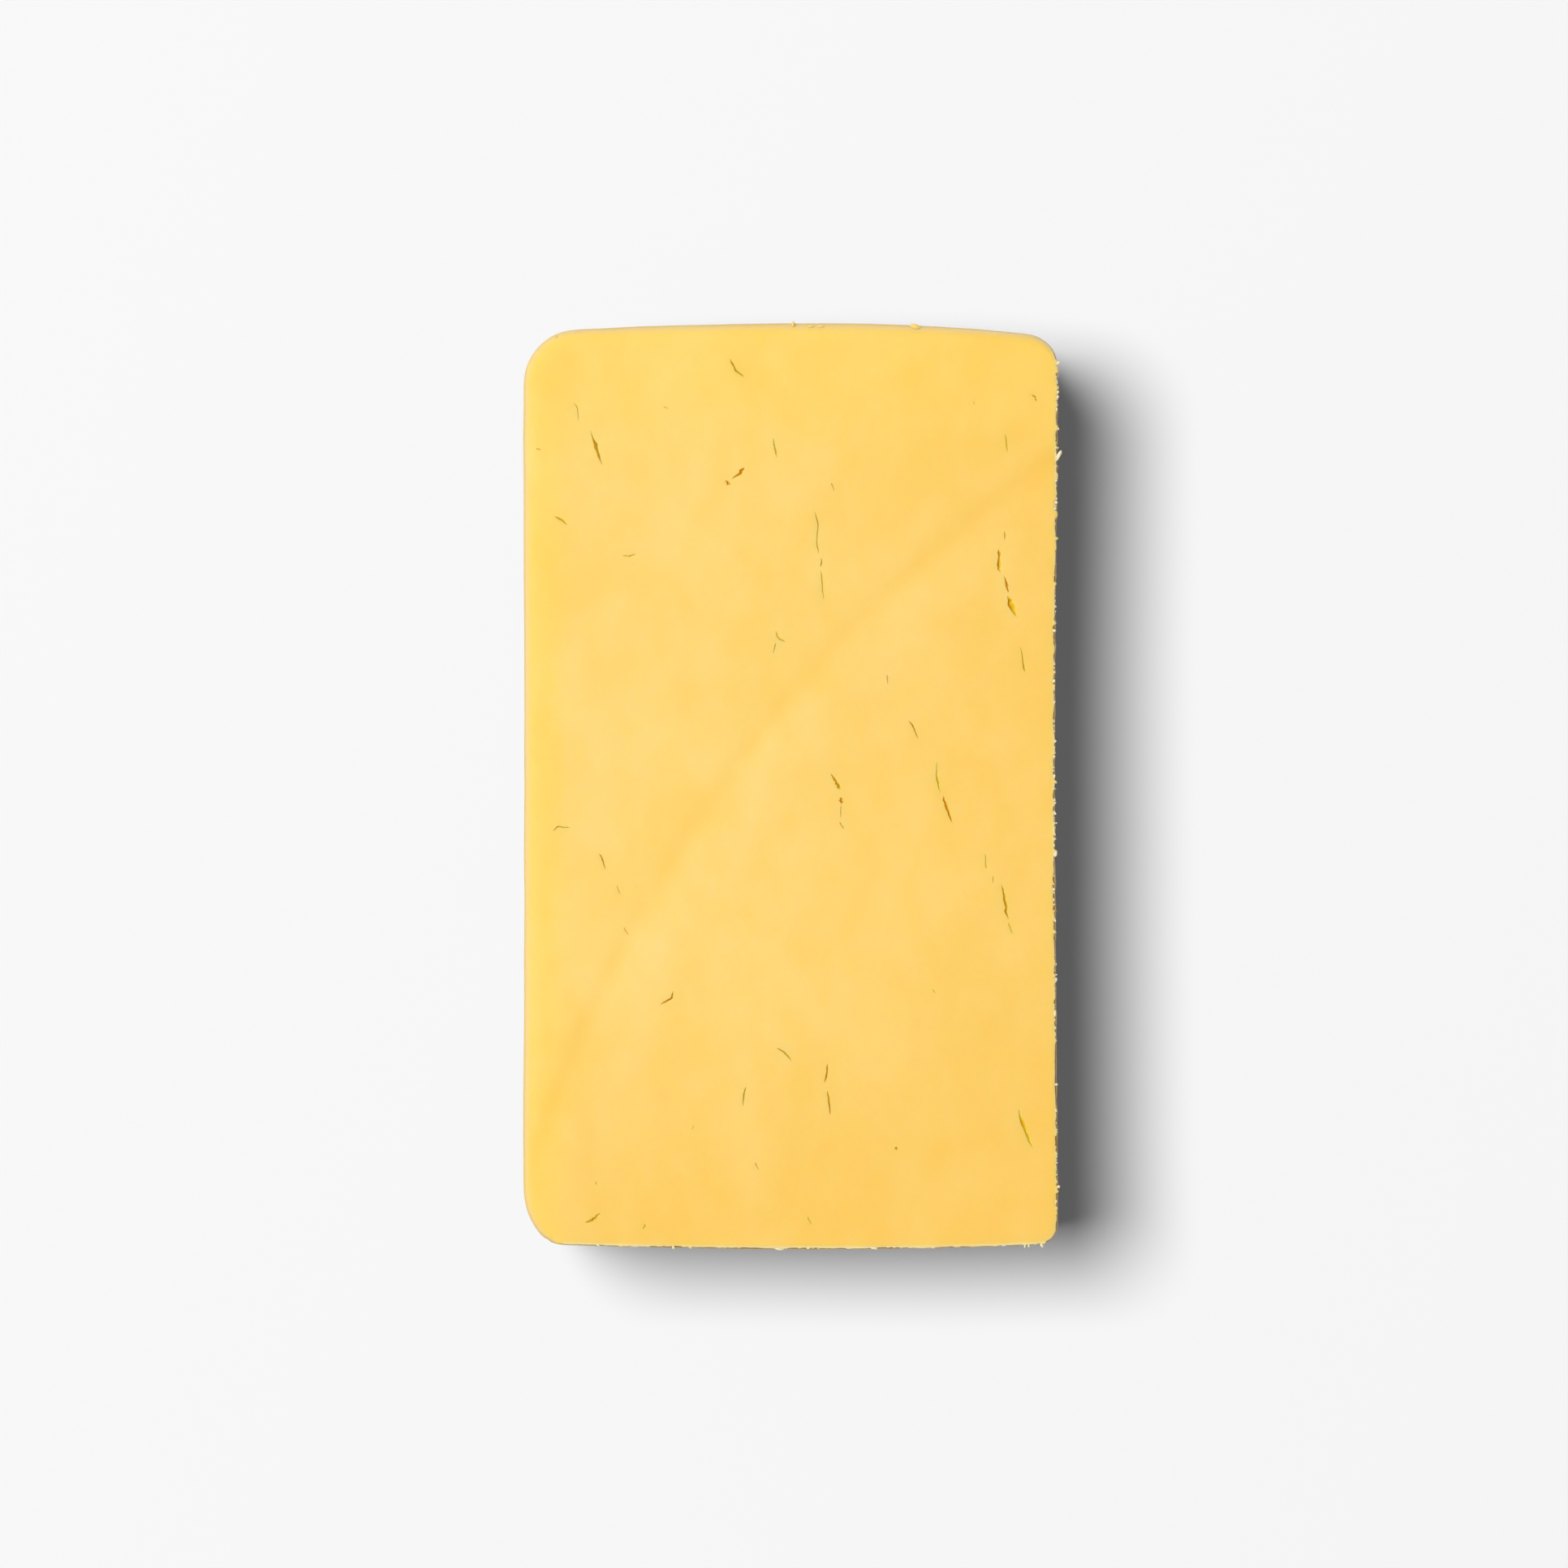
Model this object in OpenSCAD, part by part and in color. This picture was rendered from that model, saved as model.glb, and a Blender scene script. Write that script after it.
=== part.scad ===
// Cheddar block: one solid piece of semi-hard cheese, cut from a larger
// block and pressed a little out of square by its wrapping.
// The origin is on the table under the middle of the block. X runs across
// it, Y along it and Z up through its thickness. Sizes are in millimetres,
// and the pressing takes a few tenths off the sizes as cut.

/* [Block] */
// Width of the block as cut, left to right
block_w = 70.4; // [60:0.2:80]
// Length of the block as cut, front to back
block_l = 121.8; // [105:0.2:140]
// Thickness of the block as cut
block_h = 40; // [30:0.5:50]

/* [Upright corners] */
// Reach of the rounding at the back left corner, the softest one
corner_back_left = 7; // [4:0.5:12]
// Reach of the rounding at the back right corner
corner_back_right = 4; // [3:0.5:12]
// Reach of the rounding at the front left corner, along the front side
corner_front_left = 5.5; // [3:0.5:12]
// Reach of the same rounding along the left side, where it is drawn out
corner_front_left_drawn = 7.5; // [3:0.5:12]
// Reach of the rounding at the front right corner, where both cuts meet
corner_front_right = 2.5; // [2.5:0.5:8]

/* [Sides] */
// How far the back side falls back from its crest to its left end
back_fall_left = 1.2; // [0:0.1:2]
// How far the back side falls back from its crest to its right end
back_fall_right = 1.8; // [0:0.1:2]
// How far the front side falls back from its crest to both ends
front_fall = 0.7; // [0:0.1:2]
// How far the left side hollows in halfway along
left_hollow = 0.15; // [0:0.05:1]
// How far the right side hollows in halfway along
right_hollow = 0.35; // [0:0.05:1]
// How far the walls lean in at the top and the foot, from halfway up
wall_belly = 0.2; // [0:0.05:1]

/* [Edges] */
// Radius of the rounding round the top face
top_round = 1.8; // [1:0.1:2.3]
// Radius of the rounding round the foot
foot_round = 1.4; // [0.6:0.1:2.3]
// Share of a rounding's reach that is left at the right and front, the cut sides
cut_share = 0.2; // [0.15:0.05:1]

/* [Surface] */
// How far the top face falls from its middle to its edges
crown = 0.35; // [0:0.05:1]
// Depth of the soft hollows and swells in the top face and the walls
unevenness = 0.3; // [0:0.05:0.6]

/* [Fissures] */
// Width that the openings are multiplied by, 1 as cut
fissure_gape = 1; // [0.6:0.1:1.5]
// Depth of a fissure for each millimetre of its length
fissure_depth_ratio = 0.3; // [0.1:0.05:0.4]

/* [Hidden] */

// Facets: segments in a quarter turn of a corner, in an edge rounding, and
// in the flat runs across, along and up the block.
corner_segments = 8;
round_segments = 5;
across_segments = 9;
along_segments = 18;
wall_segments = 8;

// The top face is a grid whose corners lie halfway round the upright corners.
grid_x = across_segments + corner_segments;
grid_y = along_segments + corner_segments;
ring_size = 2 * (grid_x + grid_y);

// Share of the half length along which a long side hollows in.
hollow_reach = 0.8;
// The front and back sides stand out furthest a little right of the middle.
crest_x = 0.07 * block_w;

// The widest fissures in the top face, one opening each:
// [x, y, length, heading in degrees from the X axis, bend, gape].
// The bend is how far the middle stands to the left of the straight line.
// x and y are for a block of the plan size, and spread with the real one.
plan_w = 70;
plan_l = 120;
FISSURES = [
    [27.3, 29.6, 3.2, -88, -0.1, 0.45],
    [28.5, 26.4, 3.0, -67, 0.2, 0.35],
    [29.1, 23.4, 3.0, -66, -0.2, 0.65],
    [19.5, 1.2, 4.6, -84, 0.1, 0.3],
    [20.8, -3.1, 3.9, -71, -0.1, 0.4],
    [6.0, 0.5, 2.5, -55, 0.1, 0.5],
    [28.6, -14.9, 4.7, -78, 0.1, 0.45],
    [30.8, -44.9, 5.5, -70, -0.2, 0.35],
    [-25.3, 44.2, 4.8, -72, 0.1, 0.5],
    [-6.9, 41.2, 2.2, 47, 0.1, 0.6],
    [3.5, 34.0, 4.6, -86, 0.1, 0.25]
];

// The least radius left at an upright corner when the outline is inset.
least_radius = 0.3;

// One corner's quarter turn, from angle a0. The outline is inset by dx and
// dy there, and the rounding reaches reach_x and reach_y along the sides.
function corner_arc(dx, dy, reach_x, reach_y, sx, sy, a0) =
    let (
        rx = max(reach_x - dx, least_radius),
        ry = max(reach_y - dy, least_radius),
        x = sx * (block_w / 2 - dx - rx),
        y = sy * (block_l / 2 - dy - ry)
    )
    [
        for (i = [0 : corner_segments])
            let (a = a0 + 90 * i / corner_segments)
                [x + rx * cos(a), y + ry * sin(a)]
    ];

// The points between the ends of a straight run, without its ends.
function run(p, q, segments) = [
    for (i = [1 : segments - 1]) p + (q - p) * i / segments
];

function last(list) = list[len(list) - 1];

// A list begun again at its n-th member.
function turned(list, n) = [for (i = [0 : len(list) - 1]) list[(i + n) % len(list)]];

// The plain outline, anticlockwise from halfway round the back right corner.
// It is inset by d on the left and back, and by the cut share of d on the
// right and front, where the edges are crisper.
function outline(d) =
    let (
        c = cut_share * d,
        back_right = corner_arc(c, d, corner_back_right, corner_back_right, 1, 1, 0),
        back_left = corner_arc(d, d, corner_back_left, corner_back_left, -1, 1, 90),
        front_left = corner_arc(d, c, corner_front_left, corner_front_left_drawn, -1, -1, 180),
        front_right = corner_arc(c, c, corner_front_right, corner_front_right, 1, -1, 270)
    )
    turned(concat(
        back_right,
        run(last(back_right), back_left[0], across_segments),
        back_left,
        run(last(back_left), front_left[0], along_segments),
        front_left,
        run(last(front_left), front_right[0], across_segments),
        front_right,
        run(last(front_right), back_right[0], along_segments)
    ), corner_segments / 2);

// How far a point on the front or back side falls behind that side's crest.
function end_fall(x, y) =
    let (
        left = x < crest_x,
        reach = block_w / 2 + (left ? crest_x : -crest_x),
        fall = y < 0 ? front_fall : left ? back_fall_left : back_fall_right
    )
    fall * pow((x - crest_x) / reach, 2);

// How far a long side hollows in at y.
function hollow(x, y) =
    (x < 0 ? left_hollow : right_hollow) * max(0, 1 - pow(y / (hollow_reach * block_l / 2), 2));

// Soft swells that repeat every few centimetres, from 0 to 1.
function swell(x, y, z) =
    0.5 + 0.25 * sin(5.1 * x + 2.3 * y + 3.7 * z) + 0.25 * cos(6.4 * y - 3.1 * x - 5.3 * z);

// How far the wall stands in from the plain outline at a height.
function lean(z) = wall_belly * pow(2 * z / block_h - 1, 2);

// How far the top face lies below its highest level.
function top_fall(x, y) =
    crown * (pow(2 * x / block_w, 2) + pow(2 * y / block_l, 2)) / 2
    + unevenness * swell(x, y, 0);

// A point of the plain block, bowed, hollowed and made uneven. The foot
// stays flat, and the top face's fall fades out down the walls.
function pressed(p) =
    let (
        x = p[0],
        y = p[1],
        z = p[2],
        half_w = block_w / 2,
        half_l = block_l / 2,
        rise = z / block_h,
        dent = 0.6 * unevenness * swell(x, y, z) * sin(180 * rise)
    )
    [
        x - (hollow(x, y) + dent) * x / half_w,
        y - (end_fall(x, y) + dent) * y / half_l,
        z - top_fall(x, y) * pow(rise, 4)
    ];

// [height, inset] of each ring of points up the outside of the block.
function foot_rings() = [
    for (i = [0 : round_segments])
        let (a = 90 * i / round_segments)
            [foot_round * (1 - cos(a)), foot_round * (1 - sin(a))]
];
function wall_rings() = [
    for (i = [1 : wall_segments - 1])
        [foot_round + (block_h - foot_round - top_round) * i / wall_segments, 0]
];
function top_rings() = [
    for (i = [0 : round_segments])
        let (a = 90 * i / round_segments)
            [block_h - top_round * (1 - sin(a)), top_round * (1 - cos(a))]
];
function rings() = concat(foot_rings(), wall_rings(), top_rings());

function ring_points(height, inset) = [
    for (p = outline(inset + lean(height))) [p[0], p[1], height]
];

// The top face's inner points, spread between its four sides.
function top_points(ring) =
    let (
        corner_bl = ring[grid_x],
        corner_fl = ring[grid_x + grid_y],
        corner_fr = ring[2 * grid_x + grid_y],
        corner_br = ring[0]
    )
    [
        for (j = [1 : grid_y - 1]) for (i = [1 : grid_x - 1])
            let (
                u = i / grid_x,
                v = j / grid_y,
                back = ring[grid_x - i],
                front = ring[grid_x + grid_y + i],
                left = ring[grid_x + grid_y - j],
                right = ring[2 * grid_x + grid_y + j]
            )
            (1 - v) * front + v * back + (1 - u) * left + u * right
            - (1 - u) * (1 - v) * corner_fl - u * (1 - v) * corner_fr
            - (1 - u) * v * corner_bl - u * v * corner_br
    ];

// The number of the top face's point at column i and row j of its grid.
function top_index(i, j, first, inner) =
    j == grid_y ? first + (grid_x - i) % ring_size
    : j == 0 ? first + grid_x + grid_y + i
    : i == 0 ? first + grid_x + grid_y - j
    : i == grid_x ? first + (2 * grid_x + grid_y + j) % ring_size
    : inner + (j - 1) * (grid_x - 1) + i - 1;

module solid_block() {
    ring_list = rings();
    count = len(ring_list);
    plain = concat(
        [for (r = ring_list) each ring_points(r[0], r[1])],
        top_points(ring_points(last(ring_list)[0], last(ring_list)[1]))
    );
    first = (count - 1) * ring_size;
    inner = count * ring_size;
    foot_face = [[for (i = [0 : ring_size - 1]) i]];
    wall_faces = [
        for (k = [0 : count - 2]) for (i = [0 : ring_size - 1])
            let (a = k * ring_size, b = a + ring_size, n = (i + 1) % ring_size)
                each [[a + i, b + i, b + n], [a + i, b + n, a + n]]
    ];
    top_faces = [
        for (j = [0 : grid_y - 1]) for (i = [0 : grid_x - 1])
            let (
                p = top_index(i, j, first, inner),
                q = top_index(i + 1, j, first, inner),
                r = top_index(i + 1, j + 1, first, inner),
                s = top_index(i, j + 1, first, inner)
            )
            each [[p, r, q], [p, s, r]]
    ];
    polyhedron(
        points = [for (p = plain) pressed(p)],
        faces = concat(foot_face, wall_faces, top_faces)
    );
}

// Outline of an opening that tapers to a point at both ends and bends.
function opening(length, bend, gape) =
    let (stations = 6)
    concat(
        [for (i = [0 : stations])
            let (t = 2 * i / stations - 1)
                [t * length / 2, (bend - gape / 2) * (1 - t * t)]],
        [for (i = [stations - 1 : -1 : 1])
            let (t = 2 * i / stations - 1)
                [t * length / 2, (bend + gape / 2) * (1 - t * t)]]
    );

// It stands above the top face by the clearance, so that it cuts right out.
module fissure(plan_x, plan_y, length, heading, bend, gape) {
    x = plan_x * block_w / plan_w;
    y = plan_y * block_l / plan_l;
    depth = fissure_depth_ratio * length;
    clearance = 1;
    translate([x, y, block_h - top_fall(x, y) - depth])
        rotate(heading)
            linear_extrude(height = depth + clearance)
                polygon(opening(length, bend, gape * fissure_gape));
}

module cheese() {
    color([0.98, 0.83, 0.43])
        difference() {
            solid_block();
            for (f = FISSURES) fissure(f[0], f[1], f[2], f[3], f[4], f[5]);
        }
}

cheese();
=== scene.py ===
# %% [markdown]
# # A block of cheddar
#
# This notebook models the looks of a block of mild cheddar. The block's size and its pressed,
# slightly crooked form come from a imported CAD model, the frame. Blender adds what makes it
# cheese: soft swells in the faces, torn cut walls, little fissures, crumbs that cling to the
# edges, and a waxy yellow body that light sinks into.
#
# All lengths are in metres. Sizes that a maker would say in millimetres are multiplied by MM.

# %% The frame
import math
import random

import bmesh
import bpy
import numpy as np
from mathutils import Matrix, Vector, noise
from mathutils.kdtree import KDTree


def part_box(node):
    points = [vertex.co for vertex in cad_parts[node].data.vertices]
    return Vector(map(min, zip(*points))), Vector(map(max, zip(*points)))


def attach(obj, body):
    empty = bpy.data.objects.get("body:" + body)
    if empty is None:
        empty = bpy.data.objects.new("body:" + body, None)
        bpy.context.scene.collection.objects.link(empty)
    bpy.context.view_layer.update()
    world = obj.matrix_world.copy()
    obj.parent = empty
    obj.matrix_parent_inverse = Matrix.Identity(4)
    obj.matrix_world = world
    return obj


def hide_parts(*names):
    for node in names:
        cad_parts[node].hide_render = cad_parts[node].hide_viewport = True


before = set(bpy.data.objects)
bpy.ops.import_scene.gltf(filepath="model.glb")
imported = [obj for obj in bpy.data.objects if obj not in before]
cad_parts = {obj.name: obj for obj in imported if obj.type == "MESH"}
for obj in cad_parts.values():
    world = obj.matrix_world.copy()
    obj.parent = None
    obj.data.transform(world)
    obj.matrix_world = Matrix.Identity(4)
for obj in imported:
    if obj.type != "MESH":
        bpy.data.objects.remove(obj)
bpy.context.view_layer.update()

MM = 0.001
low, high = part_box("cheese")
middle = (low + high) / 2
print("block, mm:", [round(side / MM, 1) for side in high - low])

# %% [markdown]
# Operators act on whatever is selected, and loading the frame leaves its parts selected. So each
# step starts by choosing its one object. Edges and faces are then picked in code, by where they
# are, as a modeller would pick them by eye.

# %% Picking helpers
def choose(piece):
    """Makes a piece the only selected and active one."""
    bpy.ops.object.select_all(action="DESELECT")
    piece.select_set(True)
    bpy.context.view_layer.objects.active = piece


def pick(piece, kind, wanted):
    """In edit mode, selects only the edges or faces that pass a test."""
    bpy.ops.mesh.select_mode(type={"edges": "EDGE", "faces": "FACE"}[kind])
    bpy.ops.mesh.select_all(action="DESELECT")
    mesh = bmesh.from_edit_mesh(piece.data)
    for part in getattr(mesh, kind):
        part.select_set(wanted(part))
    bmesh.update_edit_mesh(piece.data)


def finish_with(piece, kind, **settings):
    """Adds a modifier, sets it and applies it."""
    choose(piece)
    bpy.ops.object.modifier_add(type=kind)
    modifier = piece.modifiers[-1]
    for name, value in settings.items():
        setattr(modifier, name, value)
    bpy.ops.object.modifier_apply(modifier=modifier.name)


# %% [markdown]
# ## The blank
#
# A real block starts as a straight-sided bar that a wire cuts from a bigger one, and its corners
# soften in the wrapper. A cube with its four upright edges bevelled by different amounts says
# exactly that. The corner at the back left is the softest, and the one at the front right, where
# two cuts meet, is the crispest. The rims are bevelled after the corners, so the bevel runs
# smoothly round them. It is only roughly right: the true form comes next.

# %% Cube with bevelled corners and rims
CORNER_REACH = {(-1, 1): 7 * MM, (1, 1): 4 * MM, (-1, -1): 6 * MM, (1, -1): 2.5 * MM}
TOP_ROUND = 1.0 * MM
FOOT_ROUND = 0.8 * MM


def upright_at(side_x, side_y):
    """Test for the block's upright edge in one corner."""
    def wanted(edge):
        a, b = (corner.co - middle for corner in edge.verts)
        upright = abs(a.z - b.z) > 1 * MM
        return upright and a.x * side_x > 0 and a.y * side_y > 0 and b.x * side_x > 0
    return wanted


def lies_at(z):
    """Test for an edge that lies at a height."""
    return lambda edge: all(abs(corner.co.z - z) < 0.01 * MM for corner in edge.verts)


bpy.ops.object.select_all(action="DESELECT")
bpy.ops.mesh.primitive_cube_add(size=1, location=middle, scale=high - low)
bpy.ops.object.transform_apply(location=True, rotation=True, scale=True)
block = bpy.context.object
block.name = "cheddar_block"
bpy.ops.object.mode_set(mode="EDIT")
for (side_x, side_y), reach in CORNER_REACH.items():
    pick(block, "edges", upright_at(side_x, side_y))
    bpy.ops.mesh.bevel(offset=reach, segments=10, affect="EDGES")
pick(block, "edges", lies_at(high.z))
bpy.ops.mesh.bevel(offset=TOP_ROUND, segments=6, affect="EDGES")
pick(block, "edges", lies_at(low.z))
bpy.ops.mesh.bevel(offset=FOOT_ROUND, segments=5, affect="EDGES")
bpy.ops.object.mode_set(mode="OBJECT")
print("blank:", len(block.data.polygons), "faces")

# %% [markdown]
# ## Even skin, wrapped onto the true form
#
# Sculpting needs small faces of one size all over. A voxel remesh gives that. The skin is then
# shrink-wrapped onto the CAD solid, which holds the bowed ends and hollow sides, so the cheese
# has its exact form. The CAD node itself stays as it is: a merged copy serves as the form.

# %% Remesh and wrap
VOXEL = 0.85 * MM

finish_with(block, "REMESH", mode="VOXEL", voxel_size=VOXEL)

choose(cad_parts["cheese"])
bpy.ops.object.duplicate()
form = bpy.context.object
bpy.ops.object.mode_set(mode="EDIT")
bpy.ops.mesh.select_all(action="SELECT")
bpy.ops.mesh.remove_doubles(threshold=0.001 * MM)
bpy.ops.object.mode_set(mode="OBJECT")
finish_with(block, "SHRINKWRAP", target=form, wrap_method="NEAREST_SURFACEPOINT")
print("skin:", len(block.data.polygons), "faces")

# %% [markdown]
# ## The cut rim
#
# The right and front walls were cut last, by a wire that came out at the top. So their upper
# rims are crisp and ragged, while all other edges are soft. Much of the work below follows this
# one line, so it is found first: rays shot at the block just below its top face, along the right
# wall, round the front right corner and along the front wall, give a point every tenth of a
# millimetre.

# %% Where to look for the rim
RIM_STEP = 0.1 * MM
CORNER_INSET = 4 * MM
RIM_START = high.y - 3.5 * MM
RIM_END = low.x + 5.5 * MM


def rim_directions():
    """Where to look for the rim: a point inside the block, and the way out from it."""
    corner = Vector((high.x - CORNER_INSET, low.y + CORNER_INSET, 0))
    y = RIM_START
    while y > corner.y:
        yield Vector((corner.x, y, 0)), Vector((1, 0, 0))
        y -= RIM_STEP
    turns = int(CORNER_INSET * math.pi / 2 / RIM_STEP)
    for step in range(turns):
        angle = -math.pi / 2 * step / turns
        yield corner, Vector((math.cos(angle), math.sin(angle), 0))
    x = corner.x
    while x > RIM_END:
        yield Vector((x, corner.y, 0)), Vector((0, -1, 0))
        x -= RIM_STEP


# %% Find the cut rim
RIM_BELOW = 0.1 * MM
CLEAR_OF_BLOCK = 100 * MM
PROBE_DEPTH = 1.5 * MM
PROBE_INSET = 0.5 * MM


def rim_at(piece, inside, out, below):
    """The place on a piece's wall a little below its top face, straight out from a point."""
    outside = Vector((*(inside + out * CLEAR_OF_BLOCK).xy, high.z - PROBE_DEPTH))
    wall = piece.ray_cast(outside, -out)[1]
    above = Vector((*(wall - out * PROBE_INSET).xy, 2 * high.z))
    top = piece.ray_cast(above, Vector((0, 0, -1)))[1]
    outside.z = top.z - below
    return piece.ray_cast(outside, -out)[1]


def find_rim():
    """The cut rim, as rows of a point, the way out, and the length run so far."""
    rows = []
    run = 0.0
    for inside, out in rim_directions():
        place = rim_at(form, inside, out, RIM_BELOW)
        run += (place - rows[-1][0]).length if rows else 0.0
        rows.append((place, out, run))
    return rows


rim_rows = find_rim()
rim_tree = KDTree(len(rim_rows))
for number, (place, out, run) in enumerate(rim_rows):
    rim_tree.insert(place, number)
rim_tree.balance()
print("cut rim, mm:", round(rim_rows[-1][2] / MM))

# %% [markdown]
# The edges that were not cut are smoothed, which takes out the form's flat facets. The skin along
# the cut rim is left crisp instead, by a vertex group that masks it. It is subdivided twice, the
# second time only within a fraction of a millimetre of the rim, because its teeth are finer than
# the even skin can hold.

# %% Distances from the rim, and masks
def from_rim(place):
    """A point's distance from the cut rim."""
    return rim_tree.find(place)[2]


def read_vectors(mesh, what):
    """A mesh's vertex positions ("co") or normals ("normal") as rows."""
    values = np.empty(len(mesh.vertices) * 3, np.float32)
    if what == "co":
        mesh.vertices.foreach_get("co", values)
    else:
        mesh.vertex_normals.foreach_get("vector", values)
    return values.reshape(-1, 3).astype(float)


def rim_distances(piece):
    """How far each point of a piece is from the cut rim."""
    return np.array([from_rim(place) for place in read_vectors(piece.data, "co")])


def mask(piece, name, weights):
    """Stores weights from 0 to 1 as a vertex group."""
    group = piece.vertex_groups.new(name=name)
    for index in np.nonzero(weights > 0.001)[0]:
        group.add([int(index)], float(weights[index]), "REPLACE")


# %% Smooth all but the cut rim, and refine it
FINE_REACH = 1.4 * MM
FINEST_REACH = 0.45 * MM


def refine(piece, reach, cuts):
    """Subdivides the faces within a distance of the cut rim."""
    choose(piece)
    bpy.ops.object.mode_set(mode="EDIT")
    pick(piece, "faces", lambda face: from_rim(face.calc_center_median()) < reach)
    bpy.ops.mesh.subdivide(number_cuts=cuts, smoothness=0)
    bpy.ops.object.mode_set(mode="OBJECT")


mask(block, "soft", 1.0 * (rim_distances(block) > FINE_REACH))
finish_with(block, "SMOOTH", factor=0.5, iterations=8, vertex_group="soft")
refine(block, FINE_REACH, cuts=3)
mask(block, "crisp", 1.0 * (rim_distances(block) < FINE_REACH))
finish_with(block, "SHRINKWRAP", target=form, wrap_method="NEAREST_SURFACEPOINT",
            vertex_group="crisp")
refine(block, FINEST_REACH, cuts=1)
bpy.data.objects.remove(form)
print("with a fine rim:", len(block.data.polygons), "faces")


# %% [markdown]
# ## Where each face is worked
#
# More such masks say where the next steps act, as when sculpting. "cut" covers the walls
# that the wire tore, below their rim, and "raised" all but the foot that the block stands on.
# Each fades out over a few degrees or tenths of a millimetre, so no step shows where it starts.

# %% How much a point belongs to the cut walls
FOOT_FADE = 1.5 * MM
RIM_FADE = (0.6 * MM, 2.5 * MM)


def smoothstep(low_edge, high_edge, value):
    """0 below the low edge, 1 above the high one, and a soft ramp between."""
    t = np.clip((value - low_edge) / (high_edge - low_edge), 0, 1)
    return t * t * (3 - 2 * t)


def cut_share(places, normals):
    """How much each point belongs to the two cut walls."""
    towards = np.maximum(normals[:, 0], -normals[:, 1])
    return smoothstep(0.5, 0.85, towards) * smoothstep(low.z, low.z + FOOT_FADE, places[:, 2])


# %% Mask the cut walls and the raised skin
places = read_vectors(block.data, "co")
normals = read_vectors(block.data, "normal")
cut = cut_share(places, normals) * smoothstep(*RIM_FADE, rim_distances(block))
mask(block, "cut", cut)
mask(block, "raised", smoothstep(low.z, low.z + FOOT_FADE, places[:, 2]))
print("cut walls:", int((cut > 0.5).sum()), "points")

# %% [markdown]
# ## Relief
#
# The faces of a real block are never flat. Displace modifiers with procedural clouds push the
# skin in and out along its normals: wide soft swells all over, then, only on the cut walls,
# the short tears that the wire leaves. The foot is left alone, so that the block still stands
# flat.

# %% Swells and tears
def clouds(name, size, depth, basis="ORIGINAL_PERLIN"):
    """A cloud texture whose lumps are about the given size."""
    texture = bpy.data.textures.new(name, "CLOUDS")
    texture.noise_scale = size
    texture.noise_depth = depth
    texture.noise_basis = basis
    return texture


def raise_by(piece, texture, height, group):
    """Pushes a group's points in and out by up to half the height."""
    finish_with(piece, "DISPLACE", texture=texture, texture_coords="LOCAL",
                strength=height, mid_level=0.5, vertex_group=group)


raise_by(block, clouds("swells", 12 * MM, 1), 0.2 * MM, "raised")
raise_by(block, clouds("dimples", 3.2 * MM, 1), 0.02 * MM, "raised")
raise_by(block, clouds("tears", 2.2 * MM, 3), 0.8 * MM, "cut")
print("with relief, mm:", (np.ptp(read_vectors(block.data, "co"), axis=0) / MM).round(1))

# %% [markdown]
# ## The burr
#
# Where the wire came out it drew up a thin lip, which leans out over the wall by a tenth or two
# of a millimetre. Its outline wanders, and it carries small teeth, apart from a few stretches
# that came off clean and the front, which is calmer all along. The lip is sculpted: the points
# within half a millimetre of the rim are moved out by an amount that depends only on how far
# along the rim they are.

# %% How far the burr stands out
WAVE_LENGTH = 3.1 * MM
WAVE_HEIGHT = 0.14 * MM
RIPPLE_LENGTH = 0.9 * MM
RIPPLE_HEIGHT = 0.14 * MM
TOOTH_LENGTH = 0.42 * MM
TOOTH_HEIGHT = 0.55 * MM
TOOTH_GAP = 0.05
CLEAN_FADE = 1.5 * MM
# Stretches of the rim, from and to how far along it, and how clean they are, from 0 to 1.
CLEAN_STRETCHES = [(26.5 * MM, 30.5 * MM, 0.9), (91 * MM, 101 * MM, 0.9),
                   (119 * MM, 190 * MM, 0.6)]


def raggedness(run):
    """1 where the rim is torn, and less on the clean stretches."""
    clean = 0.0
    for begin, end, share in CLEAN_STRETCHES:
        edge = min(run - begin, end - run)
        clean = max(clean, share * min(max(edge / CLEAN_FADE, 0.0), 1.0))
    return 1.0 - clean


def burr(run):
    """How far the lip stands out at a place along the rim: waves, and teeth on top of them."""
    # Each reads a track of the noise of its own, so they don't rise and fall together.
    wave = noise.noise(Vector((run / WAVE_LENGTH, 0.5, 2.5)))
    ripple = noise.noise(Vector((run / RIPPLE_LENGTH, 7.5, 0.5)))
    tooth = max(0.0, noise.noise(Vector((run / TOOTH_LENGTH, 3.5, 9.5))) - TOOTH_GAP)
    ragged = RIPPLE_HEIGHT * ripple + TOOTH_HEIGHT * tooth
    return WAVE_HEIGHT * wave + raggedness(run) * ragged


# %% Draw out the burr
BURR_REACH = 0.55 * MM
BURR_FULL = 0.15 * MM


def place_points(piece, places):
    """Moves all of a piece's points to new places."""
    piece.data.vertices.foreach_set("co", places.ravel())
    piece.data.update()


places = read_vectors(block.data, "co")
for index, place in enumerate(places):
    _, number, distance = rim_tree.find(place)
    if distance < BURR_REACH:
        out, run = rim_rows[number][1:]
        drawn = burr(run) * smoothstep(BURR_REACH, BURR_FULL, distance)
        places[index] += np.array(out) * drawn
place_points(block, places)
print("burr, mm out at most:", round(max(burr(run) for _, _, run in rim_rows) / MM, 2))
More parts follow.
